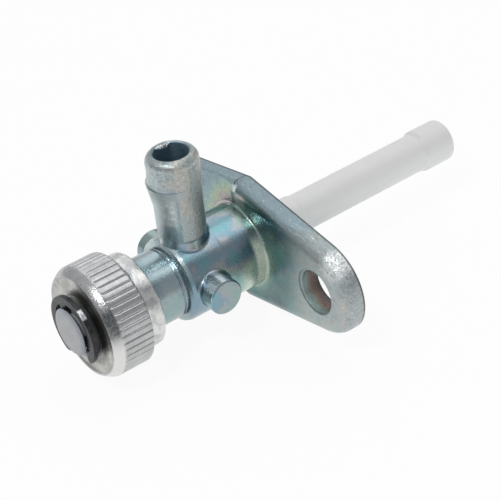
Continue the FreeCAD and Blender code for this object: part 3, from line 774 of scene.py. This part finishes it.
def buildPlunger(material):
    form = plungerSet
    head, flat, front, back = form["headR"], form["flatR"], form["front"], form["headBack"]
    # head with its rounded edge, and the clip's groove behind it
    line = [(0, front), (1.2, front), (flat - 0.3, front), (flat, front)]
    line += arcRun(flat, front, head, front + form["edgeRise"], form["edgeBulge"], form["edgeSteps"])
    line += [(head - 0.04, front + 0.36), (head - 0.16, front + 0.46),
             (head - 0.30, back - 0.03), (head - 0.34, back)]
    line += [(form["grooveR"], back), (form["grooveR"], form["grooveBack"]), (3.50, form["grooveBack"])]
    # journal and shoulder
    line += [(3.55, -31.68), (3.55, -30.25), (4.37, -30.25), (4.40, -30.22), (4.40, -29.53), (4.37, -29.50)]
    land, seal, side = form["landR"], form["sealR"], form["chamfer"]
    line.append((land, -29.50))
    for near in form["sealFronts"]:
        far = near + form["sealWide"]
        line += [(land, near - side), (land - side, near), (seal, near)]
        line += [(seal, far), (land - side, far), (land, far + side)]
    # stem and the pad's seat
    line += [(land, -17.60), (3.12, -17.30), (1.70, -17.30), (1.70, -9.70),
             (2.27, -9.70), (2.30, -9.67), (2.30, -8.83)]
    line += [(2.27, -8.80), (1.00, -8.80), (1.00, -7.60), (0.95, -7.55), (0, -7.55)]
    plunger = turnedPiece("greyPlunger", line, form["sides"], form["crease"])
    plunger.data.materials.append(material)
    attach(plunger, "spindle")
    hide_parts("plunger")
    print("plunger built:", len(plunger.data.polygons), "faces")


buildPlunger(plungerFinish())


# Standpipe: milky nylon, light inside
pipeSet = {
    "nylon": (0.72, 0.72, 0.705), "warm": (0.75, 0.74, 0.72), "under": (1.0, 0.995, 0.98),
    "underLightFrom": (2.6, -0.8), "gloss": 0.42, "bend": 1.53, "glow": 0.25, "glowReach": (0.0015, 0.0015, 0.0014),
    "patch": (0.25, 2.0, 0.5), "flow": (1.0, 2.0, 0.5), "flowAcross": 1.5, "flowAlong": 0.15}


def pipeFinish():
    f = Finish("milkyNylon")
    look = pipeSet
    across, along = look["flowAcross"], look["flowAlong"]
    patch = f.noise(*look["patch"])
    flow = f.noise(*look["flow"], at=f.spot(f.x * across, f.y * along, f.z * across))
    base = f.mix(patch.step(0.3, 0.7) * 0.6 + flow * 0.3, look["nylon"], look["warm"])
    # painted light: the pipe paler towards its underside
    base = f.mix(f.z.step(*look["underLightFrom"]), base, look["under"])
    gloss = look["gloss"] + (flow - 0.5) * 0.2
    return f.close(Base_Color=base, Roughness=gloss, Normal=f.bump(flow, 0.15, 0.05), IOR=look["bend"],
                   Subsurface_Weight=look["glow"], Subsurface_Radius=look["glowReach"], Subsurface_Scale=1.0)


dress("standpipe", pipeFinish())


# Rubber of the seals and the seat
rubberSet = {"rubber": (0.020, 0.020, 0.021), "dusty": (0.045, 0.044, 0.043), "gloss": 0.55,
             "noises": {"patch": (1.2, 4.0, 0.6), "grain": (10.0, 2.0, 0.5)}}


def rubberFinish():
    f = Finish("sealRubber")
    look = rubberSet
    patch, grain = (f.noise(*values) for values in look["noises"].values())
    base = f.mix(patch.step(0.35, 0.75), look["rubber"], look["dusty"])
    return f.close(Base_Color=base, Roughness=look["gloss"] + (grain - 0.5) * 0.2,
                   Normal=f.bump(grain, 0.15, 0.03))


rubber = rubberFinish()
for ringName in ("tank_seal", "stem_seal_front", "stem_seal_rear", "seat_pad"):
    dress(ringName, rubber)


# Strainer: woven gauze in a rolled rim
strainerSet = {
    "bright": (0.50, 0.49, 0.46), "dull": (0.36, 0.35, 0.33), "gloss": 0.35, "patch": (1.5, 3.0, 0.5),
    "radius": 2.32, "pitch": 0.33, "wire": 0.055, "wave": 0.055, "y": 35.15,
    "rings": 4, "sides": 5, "weaveCrease": 60,
    "rimOuter": 2.69, "rimInner": 2.24, "rimBack": 34.70, "rimFront": 35.60, "rimSides": 96, "rimCrease": 50}


def gauzeFinish():
    f = Finish("gauzeWire")
    look = strainerSet
    patch = f.noise(*look["patch"])
    base = f.mix(patch.step(0.3, 0.7), look["bright"], look["dull"])
    return f.close(Base_Color=base, Metallic=1.0, Roughness=look["gloss"] + (patch - 0.5) * 0.2)


def wireRun(alongX, lift):  # half a wave of wire over one crossing
    form = strainerSet
    rings, sides, pitch = form["rings"], form["sides"], form["pitch"]
    points, faces = [], []
    for i in range(rings + 1):
        t = pitch * i / rings - pitch / 2
        y = lift * math.cos(math.pi * t / pitch)
        for k in range(sides):
            a = 2 * math.pi * k / sides
            side, up = form["wire"] * math.cos(a), form["wire"] * math.sin(a)
            points.append((t, y + up, side) if alongX else (side, y + up, t))
    for i in range(rings):
        for k in range(sides):
            n = (k + 1) % sides
            quad = (i * sides + k, i * sides + n, (i + 1) * sides + n, (i + 1) * sides + k)
            faces.append(quad if alongX else quad[::-1])
    return points, faces


def buildGauze(material):
    form = strainerSet
    warp, warpFaces = wireRun(True, form["wave"])
    weft, weftFaces = wireRun(False, -form["wave"])
    faces = warpFaces + [tuple(k + len(warp) for k in face) for face in weftFaces]
    crossing = pieceFrom("gauzeCrossing", warp + weft, faces)
    tree = Tree("gauzeWeave")
    pitch = tree.size("Pitch", form["pitch"] * mm)
    radius = tree.size("Radius", form["radius"] * mm)
    place = tree.size("Place", form["y"] * mm)
    # a grid of crossings, cut to a disc
    rows = 2 * int(form["radius"] / form["pitch"]) + 1
    width = tree.maths("MULTIPLY", pitch, rows - 1)
    lattice = {"Size X": width, "Size Y": width, "Vertices X": rows, "Vertices Y": rows}
    grid = tree.add("GeometryNodeMeshGrid", {}, lattice)
    here = tree.add("GeometryNodeInputPosition")
    length = tree.add("ShaderNodeVectorMath", {"operation": "LENGTH"}, {0: here}, "Value")
    outside = tree.maths("GREATER_THAN", length, radius)
    disc = tree.add("GeometryNodeDeleteGeometry", {"domain": "POINT"}, {"Geometry": grid, "Selection": outside})
    # stood up in the pipe's mouth, every second crossing turned by a quarter
    across, along = (tree.add("ShaderNodeSeparateXYZ", {}, {0: here}, axis) for axis in "XY")
    steps = tree.maths("ROUND", tree.maths("DIVIDE", tree.maths("ADD", across, along), pitch))
    odd = tree.maths("ABSOLUTE", tree.maths("MODULO", steps, 2.0))
    turnY = tree.add("ShaderNodeCombineXYZ", {}, {"Y": tree.maths("MULTIPLY", odd, math.pi / 2)})
    upright = tree.add("ShaderNodeCombineXYZ", {}, {"X": across, "Y": place, "Z": along})
    stood = tree.add("GeometryNodeSetPosition", {}, {"Geometry": disc, "Position": upright})
    blank = tree.entry.outputs[0]
    weave = tree.add("GeometryNodeInstanceOnPoints", {},
                     {"Points": stood, "Instance": blank, "Rotation": turnY})
    tree.end(weave, material)
    tree.run(crossing)
    return bakePiece(crossing, "strainerGauze", form["weaveCrease"])


def buildRim(material):
    form = strainerSet
    out, into, back, front = form["rimOuter"], form["rimInner"], form["rimBack"], form["rimFront"]
    section = [(out, back + 0.1), (out, front - 0.1), (out - 0.05, front - 0.02), (out - 0.12, front),
               (into + 0.12, front), (into + 0.04, front - 0.03), (into, front - 0.1), (into, back + 0.1),
               (into + 0.04, back + 0.03), (into + 0.1, back), (out - 0.1, back), (out - 0.04, back + 0.03)]
    rim = turnedPiece("strainerRim", section, form["rimSides"], form["rimCrease"], closed=True)
    rim.data.materials.append(material)
    return rim


def buildStrainer(material):
    gauze, rim = buildGauze(material), buildRim(material)
    for piece in (gauze, rim):
        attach(piece, "casting")
        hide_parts("strainer")
    print("strainer built:", len(gauze.data.polygons), "faces")


buildStrainer(gauzeFinish())
print("small pieces dressed")
